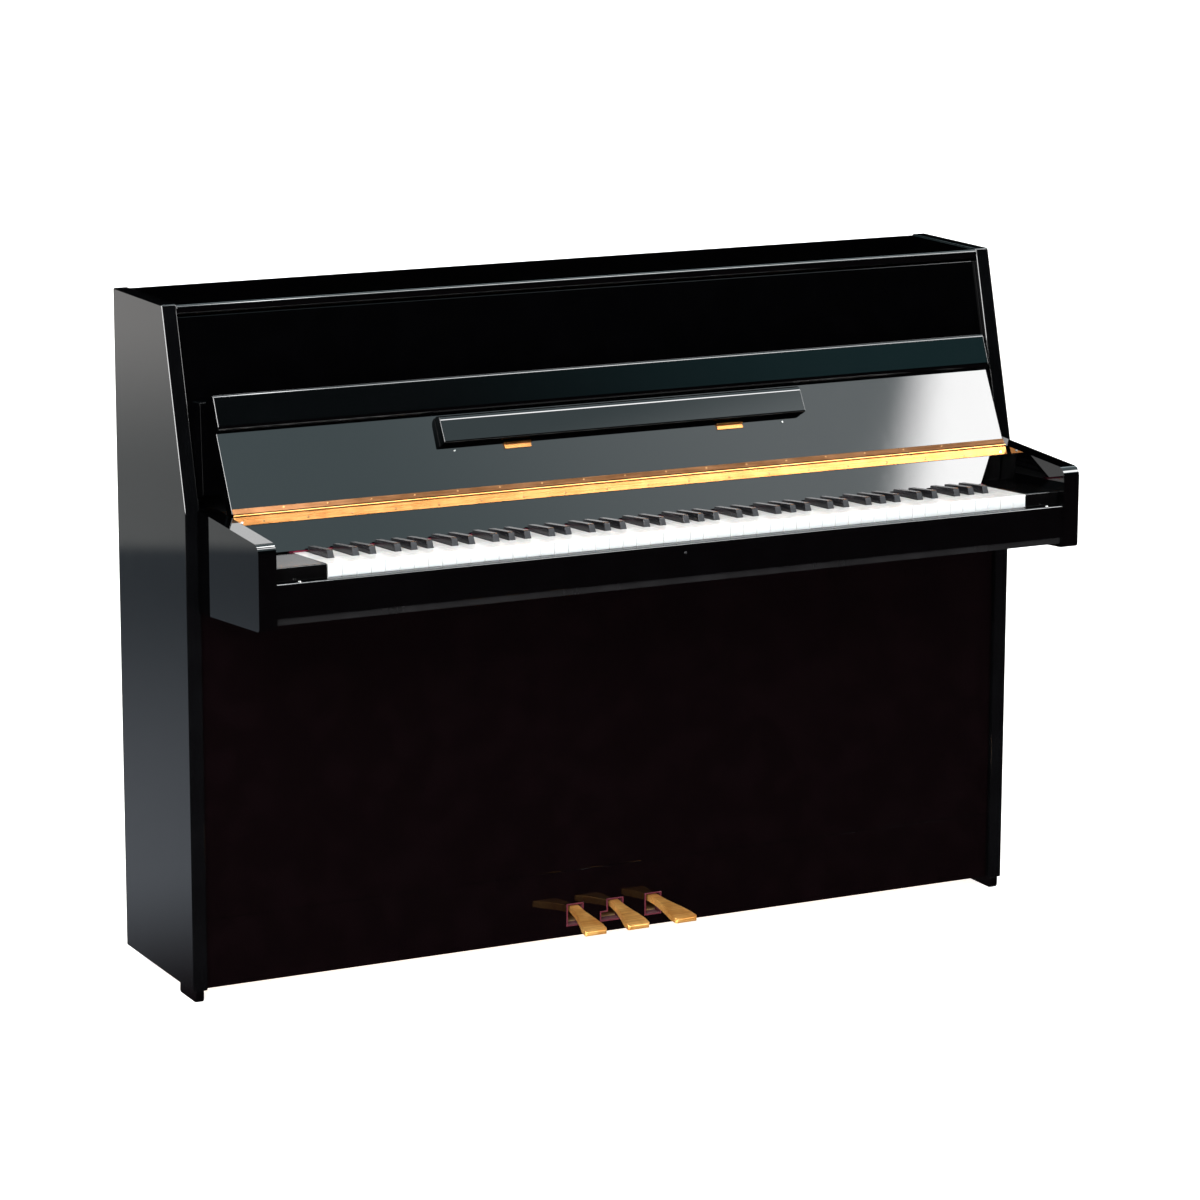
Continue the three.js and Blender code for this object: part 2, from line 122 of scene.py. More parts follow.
def smoothBand(tree, value, low, high, bottom=0.0, top=1.0):
    band = tree.nodes.new("ShaderNodeMapRange")
    band.interpolation_type = "SMOOTHSTEP"
    for name, number in (("From Min", low), ("From Max", high), ("To Min", bottom), ("To Max", top)):
        band.inputs[name].default_value = number
    tree.links.new(value, band.inputs["Value"])
    return band.outputs["Result"]


def mixColour(tree, share, first, second, blend="MIX"):
    mixer = tree.nodes.new("ShaderNodeMix")
    mixer.data_type = "RGBA"
    mixer.blend_type = blend
    for socket, value in ((mixer.inputs[0], share), (mixer.inputs[6], first), (mixer.inputs[7], second)):
        if isinstance(value, (int, float)):
            socket.default_value = value
        elif isinstance(value, tuple):
            socket.default_value = (*value, 1)[:4]
        else:
            tree.links.new(value, socket)
    return mixer.outputs[2]


def groupOf(name, inputs, outputs):
    tree = bpy.data.node_groups.new(name, "ShaderNodeTree")
    for label, kind, value in inputs:
        socket = tree.interface.new_socket(label, in_out="INPUT", socket_type=kind)
        if value is not None:
            socket.default_value = value
    for label, kind in outputs:
        tree.interface.new_socket(label, in_out="OUTPUT", socket_type=kind)
    return tree, tree.nodes.new("NodeGroupInput"), tree.nodes.new("NodeGroupOutput")


def noiseNode(tree, vector, scale, detail=3.0, rough=0.5, stretch=None):
    if stretch is not None:
        mapping = tree.nodes.new("ShaderNodeMapping")
        mapping.inputs["Scale"].default_value = stretch
        tree.links.new(vector, mapping.inputs["Vector"])
        vector = mapping.outputs["Vector"]
    noise = tree.nodes.new("ShaderNodeTexNoise")
    noise.inputs["Detail"].default_value = detail
    noise.inputs["Roughness"].default_value = rough
    tree.links.new(vector, noise.inputs["Vector"])
    if isinstance(scale, (int, float)):
        noise.inputs["Scale"].default_value = scale
    else:
        tree.links.new(scale, noise.inputs["Scale"])
    return noise.outputs["Fac"]


# shared effects
def makePolish():
    # hand polish: faint haze and wiping marks that lift the roughness a little
    tree, start, end = groupOf("handPolish", [
        ("Position", "NodeSocketVector", None), ("Base", "NodeSocketFloat", 0.04),
        ("Haze", "NodeSocketFloat", 0.03), ("Marks", "NodeSocketFloat", 0.02)],
        [("Roughness", "NodeSocketFloat"), ("Relief", "NodeSocketFloat")])
    haze = noiseNode(tree, start.outputs["Position"], 3.2, 4, 0.55)
    marks = noiseNode(tree, start.outputs["Position"], 40, 5, 0.6, (1, 1, 0.16))
    lifted = addMath(tree, "MULTIPLY", smoothBand(tree, haze, 0.42, 0.75), start.outputs["Haze"])
    wiped = addMath(tree, "MULTIPLY", smoothBand(tree, marks, 0.5, 0.8), start.outputs["Marks"])
    total = addMath(tree, "ADD", addMath(tree, "ADD", start.outputs["Base"], lifted), wiped)
    link(tree, (total, end.inputs["Roughness"]),
         (noiseNode(tree, start.outputs["Position"], 22, 2, 0.4), end.inputs["Relief"]))
    return tree


def makeGrain():
    # wood grain: long rings drawn along one direction, with fine pores
    tree, start, end = groupOf("woodGrain", [
        ("Position", "NodeSocketVector", None), ("Light", "NodeSocketColor", (0.6, 0.4, 0.2, 1)),
        ("Dark", "NodeSocketColor", (0.4, 0.24, 0.1, 1)), ("Ring size", "NodeSocketFloat", 9.0),
        ("Pores", "NodeSocketFloat", 0.3)],
        [("Color", "NodeSocketColor"), ("Relief", "NodeSocketFloat")])
    rings = noiseNode(tree, start.outputs["Position"], start.outputs["Ring size"], 4, 0.55, (1, 1, 0.06))
    wave = tree.nodes.new("ShaderNodeTexWave")
    wave.wave_type = "BANDS"
    wave.inputs["Scale"].default_value = 26
    wave.inputs["Distortion"].default_value = 5
    wave.inputs["Detail"].default_value = 2
    squeeze = tree.nodes.new("ShaderNodeMapping")
    squeeze.inputs["Scale"].default_value = (1, 1, 0.05)
    link(tree, (start.outputs["Position"], squeeze.inputs["Vector"]),
         (squeeze.outputs[0], wave.inputs["Vector"]))
    pores = noiseNode(tree, start.outputs["Position"], 420, 2, 0.5, (1, 1, 0.04))
    share = addScaled(tree, (rings, 0.75), (wave.outputs["Fac"], 0.3), clamp=True)
    tone = mixColour(tree, share, start.outputs["Dark"], start.outputs["Light"])
    specks = addMath(tree, "MULTIPLY", smoothBand(tree, pores, 0.56, 0.7), start.outputs["Pores"])
    link(tree, (mixColour(tree, specks, tone, start.outputs["Dark"]), end.inputs["Color"]),
         (addMath(tree, "SUBTRACT", share, specks), end.inputs["Relief"]))
    return tree


def makeFuzz():
    # pressed wool felt: tangled fibres at two sizes
    tree, start, end = groupOf("woolFuzz", [
        ("Position", "NodeSocketVector", None), ("Wool", "NodeSocketColor", (0.5, 0.1, 0.1, 1)),
        ("Shade", "NodeSocketColor", (0.2, 0.02, 0.03, 1)), ("Fibre size", "NodeSocketFloat", 900.0)],
        [("Color", "NodeSocketColor"), ("Relief", "NodeSocketFloat")])
    fibres = noiseNode(tree, start.outputs["Position"], start.outputs["Fibre size"], 4, 0.7)
    clumps = noiseNode(tree, start.outputs["Position"], 120, 3, 0.6)
    share = addScaled(tree, (fibres, 0.6), (clumps, 0.5), clamp=True)
    link(tree, (mixColour(tree, smoothBand(tree, share, 0.35, 0.75), start.outputs["Shade"],
                          start.outputs["Wool"]), end.inputs["Color"]), (share, end.inputs["Relief"]))
    return tree


def makeTarnish():
    # brass that has been lacquered and handled: darker along the grain, brighter where rubbed
    tree, start, end = groupOf("brassTone", [
        ("Position", "NodeSocketVector", None), ("Bright", "NodeSocketColor", (0.8, 0.55, 0.2, 1)),
        ("Dull", "NodeSocketColor", (0.5, 0.28, 0.08, 1)), ("Base", "NodeSocketFloat", 0.25),
        ("Brushing", "NodeSocketFloat", 0.12)],
        [("Color", "NodeSocketColor"), ("Roughness", "NodeSocketFloat"), ("Relief", "NodeSocketFloat")])
    strokes = noiseNode(tree, start.outputs["Position"], 260, 3, 0.6, (0.05, 1, 1))
    patches = noiseNode(tree, start.outputs["Position"], 30, 3, 0.6)
    share = addScaled(tree, (strokes, 0.5), (patches, 0.55), clamp=True)
    brushed = addMath(tree, "MULTIPLY", strokes, start.outputs["Brushing"])
    rough = addMath(tree, "ADD", start.outputs["Base"], brushed)
    link(tree, (mixColour(tree, smoothBand(tree, share, 0.35, 0.72), start.outputs["Dull"],
                          start.outputs["Bright"]), end.inputs["Color"]),
         (rough, end.inputs["Roughness"]), (strokes, end.inputs["Relief"]))
    return tree


polish, grain, fuzz, tarnish = makePolish(), makeGrain(), makeFuzz(), makeTarnish()


# materials
def setSockets(node, values):
    for label, value in values.items():
        if isinstance(value, tuple):
            value = (*value, 1)
        node.inputs[label.replace("_", " ")].default_value = value


def startMaterial(name, **sockets):
    made = bpy.data.materials.new(name)
    made.use_nodes = True
    tree = made.node_tree
    shader = tree.nodes["Principled BSDF"]
    setSockets(shader, sockets)
    place = tree.nodes.new("ShaderNodeTexCoord").outputs["Object"]
    return made, tree, shader, place


def useGroup(tree, group, place, **values):
    step = tree.nodes.new("ShaderNodeGroup")
    step.node_tree = group
    tree.links.new(place, step.inputs["Position"])
    setSockets(step, values)
    return step


def scaled(colour, share):
    return tuple(c * share for c in colour)


def addRelief(tree, shader, height, strength, distance):
    bump = tree.nodes.new("ShaderNodeBump")
    bump.inputs["Strength"].default_value = strength
    bump.inputs["Distance"].default_value = distance
    link(tree, (height, bump.inputs["Height"]), (bump.outputs["Normal"], shader.inputs["Normal"]))


lacquers = {
    "polishedEbony": {
        "colour": (0.0004, 0.0004, 0.0005), "gloss": 0.5, "base": 0.022, "haze": 0.02, "marks": 0.012},
    "sideEbony": {
        "colour": (0.0012, 0.0013, 0.0015), "gloss": 0.42, "base": 0.045, "haze": 0.05, "marks": 0.02},
    "warmEbony": {
        "colour": (0.0015, 0.0007, 0.0009), "gloss": 0.30, "base": 0.05, "haze": 0.03, "marks": 0.02},
    "satinEbony": {
        "colour": (0.001, 0.001, 0.0011), "gloss": 0.26, "base": 0.15, "haze": 0.04, "marks": 0.03},
    # satin finish with a lighter base colour than the other ebony; the lighter colour is painted light on the
    # key bed
    "satinBedPaintedLight": {
        "colour": (0.007, 0.007, 0.0075), "gloss": 0.5, "base": 0.24, "haze": 0.05, "marks": 0.05},
}


def lacquer(name):
    look = lacquers[name]
    made, tree, shader, place = startMaterial(
        name, Base_Color=look["colour"], Specular_IOR_Level=look["gloss"])
    step = useGroup(tree, polish, place, Base=look["base"], Haze=look["haze"], Marks=look["marks"])
    tree.links.new(step.outputs["Roughness"], shader.inputs["Roughness"])
    dusk = scaled(look["colour"], 1.35)
    tree.links.new(mixColour(tree, smoothBand(tree, step.outputs["Relief"], 0.4, 0.7), look["colour"], dusk),
                   shader.inputs["Base Color"])
    addRelief(tree, shader, step.outputs["Relief"], 0.03, 0.0002)
    return made


# top is each key's own colour; front is painted light: painted shade on white key fronts, a lighter painted
# sheen on black key fronts
keyLooks = {
    "white": {"top": (0.83, 0.835, 0.82), "front": (0.60, 0.63, 0.64), "rough": 0.16},
    "black": {"top": (0.006, 0.006, 0.007), "front": (0.05, 0.052, 0.056), "rough": 0.2},
}


def frontShadingMask(tree, low, high):
    # 1 on the faces that look to the player, 0 on the others; used to paint the key fronts a different shade
    # as painted light
    facing = tree.nodes.new("ShaderNodeNewGeometry")
    split = tree.nodes.new("ShaderNodeSeparateXYZ")
    tree.links.new(facing.outputs["True Normal"], split.inputs[0])
    return smoothBand(tree, split.outputs["Y"], low, high)


def keyWhite():
    look = keyLooks["white"]
    made, tree, shader, place = startMaterial("keyWhite", Roughness=look["rough"], Specular_IOR_Level=0.45,
                                              Subsurface_Weight=0.04, Subsurface_Scale=0.004)
    # painted shade: the faces that look to the player are painted a darker grey-blue than the tops
    front = frontShadingMask(tree, -0.75, -0.95)
    cloud = noiseNode(tree, place, 14, 4, 0.6)
    top = mixColour(tree, smoothBand(tree, cloud, 0.4, 0.75), look["top"], scaled(look["top"], 0.965))
    wear = noiseNode(tree, place, 70, 4, 0.6)
    link(tree, (mixColour(tree, front, top, look["front"]), shader.inputs["Base Color"]),
         (smoothBand(tree, wear, 0.3, 0.8, look["rough"], look["rough"] + 0.12), shader.inputs["Roughness"]))
    return made


def keyBlack():
    look = keyLooks["black"]
    made, tree, shader, place = startMaterial("keyBlack", Specular_IOR_Level=0.3)
    # painted light: the faces that lean to the player are painted a lighter grey than the tops
    front = frontShadingMask(tree, -0.35, -0.8)
    streak = noiseNode(tree, place, 180, 3, 0.6, (1, 0.06, 1))
    top = mixColour(tree, smoothBand(tree, streak, 0.35, 0.75), look["top"], scaled(look["top"], 2.2))
    link(tree, (mixColour(tree, front, top, look["front"]), shader.inputs["Base Color"]),
         (smoothBand(tree, streak, 0.3, 0.8, look["rough"], look["rough"] + 0.1), shader.inputs["Roughness"]))
    addRelief(tree, shader, streak, 0.08, 0.0002)
    return made


brasses = {
    "hingeBrass": {
        "bright": (0.56, 0.245, 0.08), "dull": (0.40, 0.155, 0.045), "base": 0.2, "brushing": 0.16},
    # painted shade: the moving hinge leaf is the same metal as the fixed leaf, made much darker
    "paintedShadeLeafBrass": {
        "bright": (0.125, 0.058, 0.026), "dull": (0.07, 0.029, 0.011), "base": 0.24, "brushing": 0.2},
    "pedalBrass": {
        "bright": (1.0, 0.57, 0.17), "dull": (0.62, 0.24, 0.045), "base": 0.24,
        "brushing": 0.12, "metal": 0.6},
    # painted shade: screw brass darker than the hinge it sits in, so the heads read as dark shaded marks
    "paintedShadeScrewBrass": {
        "bright": (0.34, 0.19, 0.08), "dull": (0.18, 0.09, 0.035), "base": 0.24, "brushing": 0.1},
}


def brassOf(name):
    look = brasses[name]
    made, tree, shader, place = startMaterial(name, Metallic=look.get("metal", 1.0))
    step = useGroup(tree, tarnish, place, Bright=look["bright"], Dull=look["dull"], Base=look["base"],
                    Brushing=look["brushing"])
    link(tree, (step.outputs["Color"], shader.inputs["Base Color"]),
         (step.outputs["Roughness"], shader.inputs["Roughness"]))
    addRelief(tree, shader, step.outputs["Relief"], 0.15, 0.0001)
    return made


felts = {
    "redFelt": {
        "wool": (0.26, 0.015, 0.05), "shade": (0.11, 0.006, 0.02), "fibre": 900},
    # painted shade: the pedal-slot felt is a much darker red, so the insides of the slots look shaded
    "slotFelt": {
        "wool": (0.10, 0.010, 0.024), "shade": (0.05, 0.004, 0.010), "fibre": 1100},
    "whiteFelt": {
        "wool": (0.82, 0.79, 0.70), "shade": (0.62, 0.58, 0.49), "fibre": 700},
    "mufflerFelt": {
        "wool": (0.70, 0.70, 0.62), "shade": (0.5, 0.5, 0.43), "fibre": 800},
}


def feltOf(name):
    look = felts[name]
    made, tree, shader, place = startMaterial(name, Roughness=0.95, Specular_IOR_Level=0.2, Sheen_Weight=0.1,
                                              Sheen_Roughness=0.5)
    step = useGroup(tree, fuzz, place, Wool=look["wool"], Shade=look["shade"],
                    Fibre_size=float(look["fibre"]))
    tree.links.new(step.outputs["Color"], shader.inputs["Base Color"])
    addRelief(tree, shader, step.outputs["Relief"], 0.6, 0.0006)
    return made


woods = {
    "backWood": {
        "light": (0.58, 0.39, 0.20), "dark": (0.43, 0.26, 0.12), "ring": 8.0, "pores": 0.35, "rough": 0.5},
    "spruceBoard": {
        "light": (0.72, 0.50, 0.26), "dark": (0.58, 0.36, 0.16), "ring": 14.0, "pores": 0.2, "rough": 0.34},
    "keyWood": {
        "light": (0.66, 0.49, 0.28), "dark": (0.52, 0.35, 0.18), "ring": 20.0, "pores": 0.25, "rough": 0.55},
}


def woodOf(name):
    look = woods[name]
    made, tree, shader, place = startMaterial(name, Specular_IOR_Level=0.35)
    step = useGroup(tree, grain, place, Light=look["light"], Dark=look["dark"], Ring_size=look["ring"],
                    Pores=look["pores"])
    tree.links.new(step.outputs["Color"], shader.inputs["Base Color"])
    tree.links.new(smoothBand(tree, step.outputs["Relief"], 0.2, 0.9, look["rough"] + 0.1, look["rough"]),
                   shader.inputs["Roughness"])
    addRelief(tree, shader, step.outputs["Relief"], 0.2, 0.0004)
    return made


metals = {
    "goldIron": {
        "colour": (0.42, 0.27, 0.08), "metal": 0.75, "rough": 0.36, "speck": 0.35, "grainSize": 260},
    "stringSteel": {
        "colour": (0.44, 0.44, 0.45), "metal": 1.0, "rough": 0.28, "speck": 0.12, "grainSize": 500},
    "blackIron": {
        "colour": (0.018, 0.018, 0.019), "metal": 0.3, "rough": 0.48, "speck": 0.3, "grainSize": 320},
    "screwSteel": {
        "colour": (0.55, 0.54, 0.52), "metal": 1.0, "rough": 0.25, "speck": 0.1, "grainSize": 400},
    "footRubber": {
        "colour": (0.014, 0.014, 0.015), "metal": 0.0, "rough": 0.62, "speck": 0.3, "grainSize": 300},
}


def metalOf(name):
    look = metals[name]
    made, tree, shader, place = startMaterial(name, Metallic=look["metal"], Specular_IOR_Level=0.4)
    specks = noiseNode(tree, place, look["grainSize"], 4, 0.65)
    clouds = noiseNode(tree, place, 9, 3, 0.5)
    shade = scaled(look["colour"], 1 - look["speck"])
    both = addScaled(tree, (specks, 0.6), (clouds, 0.45))
    tree.links.new(mixColour(tree, smoothBand(tree, both, 0.35, 0.7), look["colour"], shade),
                   shader.inputs["Base Color"])
    tree.links.new(smoothBand(tree, both, 0.3, 0.75, look["rough"] - 0.05, look["rough"] + 0.1),
                   shader.inputs["Roughness"])
    addRelief(tree, shader, specks, 0.15, 0.0003)
    return made


finishes = {}
for make, looks in (
        (lacquer, lacquers), (brassOf, brasses), (feltOf, felts), (woodOf, woods), (metalOf, metals)):
    finishes.update({name: make(name) for name in looks})
finishes.update(keyWhite=keyWhite(), keyBlack=keyBlack())
print("finishes:", len(finishes))


# frame pieces that keep their shape
plainFinishes = {
    "rear_foot_left": "footRubber", "rear_foot_right": "footRubber", "bottom_board": "backWood",
    "lid_hinge": "hingeBrass", "key_felt": "redFelt", "key_frame": "keyWood",
    "dowel_soft": "keyWood", "dowel_muffler": "keyWood", "dowel_sustain": "keyWood",
    "pedal_bracket": "blackIron", "back_frame": "backWood", "soundboard": "spruceBoard",
    "iron_plate": "goldIron", "pin_block": "backWood", "strings": "stringSteel",
    "action_frame": "blackIron", "hammers": "whiteFelt", "damper_rail": "whiteFelt",
    "muffler_rail": "mufflerFelt",
}
for node, finish in plainFinishes.items():
    for place in nodes[node].material_slots:
        place.material = finishes[finish]


# polished copies with rounded edges
def bodyOf(node):
    return nodes[node]["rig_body"]


rounding = {"merge": 0.00002, "flat": 0.8, "sharpest": 32, "faceWeight": 60}  # metres, degrees, degrees


def roundedCopy(node, finish, radius, segments=3):
    mesh = nodes[node].data.copy()
    mesh.name = node + "_finished"
    shape = bmesh.new()
    shape.from_mesh(mesh)
    bmesh.ops.remove_doubles(shape, verts=shape.verts, dist=rounding["merge"])
    bmesh.ops.dissolve_limit(shape, angle_limit=math.radians(rounding["flat"]), verts=shape.verts,
                             edges=shape.edges)
    shape.to_mesh(mesh)
    shape.free()
    for label in ("custom_normal", "sharp_edge", "sharp_face"):
        if label in mesh.attributes:
            mesh.attributes.remove(mesh.attributes[label])
    mesh.materials.clear()
    mesh.materials.append(finishes[finish])
    for face in mesh.polygons:
        face.use_smooth = True
        face.material_index = 0
    piece = addObject(mesh.name, mesh)
    bevel = piece.modifiers.new("roundedEdges", "BEVEL")
    bevel.width = radius * millimetre
    bevel.segments = segments
    bevel.limit_method = "ANGLE"
    bevel.angle_limit = math.radians(rounding["sharpest"])
    bevel.harden_normals = False
    level = piece.modifiers.new("flatFaces", "WEIGHTED_NORMAL")
    level.weight = rounding["faceWeight"]
    level.keep_sharp = True
    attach(piece, bodyOf(node))
    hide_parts(node)
    return piece


roundedPieces = {
    "side_left": ("sideEbony", 2.0), "side_right": ("sideEbony", 2.0),
    "toe_block_left": ("polishedEbony", 1.2), "toe_block_right": ("polishedEbony", 1.2),
    "arm_left": ("polishedEbony", 1.8), "arm_right": ("polishedEbony", 1.8),
    "key_bed": ("satinBedPaintedLight", 1.0), "key_slip": ("polishedEbony", 0.8),
    "key_block_left": ("satinEbony", 1.2), "key_block_right": ("satinEbony", 1.2),
    "upper_panel": ("polishedEbony", 1.0), "lower_panel": ("warmEbony", 1.0),
    "kick_rail": ("warmEbony", 0.8), "top_lid": ("polishedEbony", 1.2),
    "fallboard_back": ("polishedEbony", 0.8), "fallboard_panel": ("polishedEbony", 0.9),
    "fallboard_lip": ("polishedEbony", 1.0), "music_desk": ("polishedEbony", 1.0),
    "hinge_leaf_fixed": ("hingeBrass", 0.25), "hinge_leaf_moving": ("paintedShadeLeafBrass", 0.25),
    "desk_hinge_left": ("hingeBrass", 0.3), "desk_hinge_right": ("hingeBrass", 0.3),
    "pedal_soft": ("pedalBrass", 1.9), "pedal_muffler": ("pedalBrass", 1.9),
    "pedal_sustain": ("pedalBrass", 1.9),
}
keyPrefixes = ("key_", "naturals_", "sharps_")
keyEdges = {"white": ("keyWhite", 0.35, 2), "black": ("keyBlack", 0.9, 3)}  # finish, radius, segments
for node, (finish, radius) in roundedPieces.items():
    roundedCopy(node, finish, radius)
for node in nodes:
    if node in roundedPieces or node in plainFinishes or not node.startswith(keyPrefixes):
        continue
    black = node.endswith("_sharp") or node.startswith("sharps_")
    roundedCopy(node, *keyEdges["black" if black else "white"])
print("rounded pieces:", len(roundedPieces), "and the keyboard")


def pieceFrom(shape, name, finish):
    bmesh.ops.recalc_face_normals(shape, faces=shape.faces)
    mesh = bpy.data.meshes.new(name)
    shape.to_mesh(mesh)
    shape.free()
    mesh.materials.append(finishes[finish])
    return addObject(name, mesh)


# felt round the pedal slots
slotFelt = {
    "thick": 2.0, "edge": 0.35, "front": -17.1, "back": 3.0, "play": 0.15,
    "low": 37, "high": 75, "wide": 31,
    "centres": (-70, 3, 73), "step": 55, "stepLeft": 12, "stepRight": 4,
}


def inset(points, distance):
    count = len(points)
    out = []
    for i, here in enumerate(points):
        before, after = points[i - 1], points[(i + 1) % count]
        into = (Vector(here) - Vector(before)).normalized()
        away = (Vector(after) - Vector(here)).normalized()
        out.append(Vector(here) + distance * (Vector((-into.y, into.x)) + Vector((-away.y, away.x))))
    return out


def makeSlotFelt(index):
    look = slotFelt
    middle, wide, low, high = look["centres"][index], look["wide"] / 2, look["low"], look["high"]
    if index == 1:  # the middle slot steps down to the left, where its pedal locks
        step, left, right = look["step"], middle - wide - look["stepLeft"], middle + wide - look["stepRight"]
        points = [(left, low), (right, low), (right, step), (middle + wide, step), (middle + wide, high),
                  (middle - wide, high), (middle - wide, step), (left, step)]
    else:
        points = [(middle - wide, low), (middle + wide, low), (middle + wide, high), (middle - wide, high)]
    outer = inset(points, look["play"])
    hole = inset(points, look["play"] + look["thick"])
    shape = bmesh.new()
    front, back = look["front"], look["back"]
    rings = [[shape.verts.new((p.x * millimetre, y * millimetre, p.y * millimetre)) for p in ring]
             for y, ring in ((front, outer), (front, hole), (back, hole), (back, outer))]
    count = len(points)
    for one, two in zip(rings, rings[1:] + rings[:1]):
        for i in range(count):
            j = (i + 1) % count
            shape.faces.new((one[i], one[j], two[j], two[i]))
    piece = pieceFrom(shape, f"slot_felt_{index + 1}", "slotFelt")
    soft = piece.modifiers.new("woolEdge", "BEVEL")
    soft.width = look["edge"] * millimetre
    soft.segments = 2
    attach(piece, bodyOf("kick_rail"))


for index in range(len(slotFelt["centres"])):
    makeSlotFelt(index)
print("slot felts:", len(slotFelt["centres"]))


# screws
screwSets = {
    "hinge_screws_fixed": {"body": "hinge_leaf_fixed", "finish": "paintedShadeScrewBrass", "radius": 2.1, "height": 0.7,
                           "tilt": 62.7, "from": (-640, -96.0, 773.6), "step": (73.2, 0, 0), "count": 18},
    "hinge_screws_moving": {"body": "hinge_leaf_moving", "finish": "paintedShadeScrewBrass", "radius": 1.6, "height": 0.6,
                            "tilt": 44.6, "from": (-603, -86.0, 790.2), "step": (73.2, 0, 0), "count": 17},
    "hinge_end_screws": {"body": "hinge_leaf_fixed", "finish": "screwSteel", "radius": 2.6, "height": 0.8,
                         "tilt": 62.7, "from": (-676, -96.0, 773.6), "step": (1352, 0, 0), "count": 2},
    "desk_screws": {"body": "fallboard_panel", "finish": "screwSteel", "radius": 1.7, "height": 1.2,
                    "tilt": 62.7, "from": (-300, -53.1, 847.4), "step": (585, 0, 0), "count": 2},
    "slip_screws": {"body": "key_slip", "finish": "screwSteel", "radius": 2.6, "height": 1.3,
                    "tilt": 0, "from": (-652, -257.6, 711.2), "step": (1316, 0, 0), "count": 2},
    "back_screws": {"body": "back_frame", "finish": "screwSteel", "radius": 4.5, "height": 1.6,
                    "tilt": -90, "from": (-692, 260, 1030), "step": (138.4, 0, 0), "count": 11},
    "foot_screws": {"body": "back_frame", "finish": "screwSteel", "radius": 4.5, "height": 1.6,
                    "tilt": -90, "from": (-672, 260, 96), "step": (1344, 0, 0), "count": 2},
}


screwHead = {"sides": 18, "rim": 0.72, "slotLength": 3.0, "slotWidth": 0.26, "spin": 0.9, "seed": 11}


def makeScrewTree():
    tree = bpy.data.node_groups.new("screwHeads", "GeometryNodeTree")
    for label, kind, value in (
            ("Geometry", "NodeSocketGeometry", None), ("Radius", "NodeSocketFloat", 0.002),
            ("Height", "NodeSocketFloat", 0.001), ("Tilt", "NodeSocketFloat", 0.0),
            ("Seed", "NodeSocketInt", 7), ("Finish", "NodeSocketMaterial", None)):
        socket = tree.interface.new_socket(label, in_out="INPUT", socket_type=kind)
        if value is not None:
            socket.default_value = value
    tree.interface.new_socket("Geometry", in_out="OUTPUT", socket_type="NodeSocketGeometry")
    start, end = tree.nodes.new("NodeGroupInput"), tree.nodes.new("NodeGroupOutput")
    head = tree.nodes.new("GeometryNodeMeshCone")
    head.inputs["Vertices"].default_value = screwHead["sides"]
    rim = addMath(tree, "MULTIPLY", start.outputs["Radius"], screwHead["rim"])
    link(tree, (rim, head.inputs["Radius Top"]), (start.outputs["Radius"], head.inputs["Radius Bottom"]),
         (start.outputs["Height"], head.inputs["Depth"]))
    slotSize = tree.nodes.new("ShaderNodeCombineXYZ")
    link(tree,
         (addMath(tree, "MULTIPLY", start.outputs["Radius"], screwHead["slotLength"]), slotSize.inputs[0]),
         (addMath(tree, "MULTIPLY", start.outputs["Radius"], screwHead["slotWidth"]), slotSize.inputs[1]),
         (start.outputs["Height"], slotSize.inputs[2]))
    slot = tree.nodes.new("GeometryNodeMeshCube")
    lift = tree.nodes.new("GeometryNodeTransform")
    rise = tree.nodes.new("ShaderNodeCombineXYZ")
    link(tree, (slotSize.outputs[0], slot.inputs["Size"]), (start.outputs["Height"], rise.inputs[2]),
         (slot.outputs["Mesh"], lift.inputs["Geometry"]), (rise.outputs[0], lift.inputs["Translation"]))
    cut = tree.nodes.new("GeometryNodeMeshBoolean")
    cut.operation = "DIFFERENCE"
    link(tree, (head.outputs["Mesh"], cut.inputs["Mesh 1"]), (lift.outputs["Geometry"], cut.inputs["Mesh 2"]))
    spin = tree.nodes.new("FunctionNodeRandomValue")
    spin.data_type = "FLOAT"
    spin.inputs[2].default_value = -screwHead["spin"]
    spin.inputs[3].default_value = screwHead["spin"]
    link(tree, (start.outputs["Seed"], spin.inputs["Seed"]))
    own = tree.nodes.new("ShaderNodeCombineXYZ")
    lean = tree.nodes.new("ShaderNodeCombineXYZ")
    link(tree, (spin.outputs[1], own.inputs[2]), (start.outputs["Tilt"], lean.inputs[0]))
    placed = tree.nodes.new("GeometryNodeInstanceOnPoints")
    turned = tree.nodes.new("GeometryNodeRotateInstances")
    link(tree, (start.outputs["Geometry"], placed.inputs["Points"]),
         (cut.outputs["Mesh"], placed.inputs["Instance"]), (lean.outputs[0], placed.inputs["Rotation"]),
         (placed.outputs["Instances"], turned.inputs["Instances"]),
         (own.outputs[0], turned.inputs["Rotation"]))
    made = tree.nodes.new("GeometryNodeRealizeInstances")
    coat = tree.nodes.new("GeometryNodeSetMaterial")
    link(tree, (turned.outputs["Instances"], made.inputs["Geometry"]),
         (made.outputs["Geometry"], coat.inputs["Geometry"]),
         (start.outputs["Finish"], coat.inputs["Material"]),
         (coat.outputs["Geometry"], end.inputs["Geometry"]))
    return tree


def setInput(modifier, label, value):
    for socket in modifier.node_group.interface.items_tree:
        if socket.name == label and getattr(socket, "in_out", "") == "INPUT":
            modifier[socket.identifier] = value


def bake(piece, name, finish):
    # replaces a piece and its modifiers with the plain mesh they make
    graph = bpy.context.evaluated_depsgraph_get()
    mesh = bpy.data.meshes.new_from_object(piece.evaluated_get(graph))
    mesh.name = name
    bpy.data.objects.remove(piece)
    if not mesh.materials:
        mesh.materials.append(finishes[finish])
    return addObject(name, mesh)


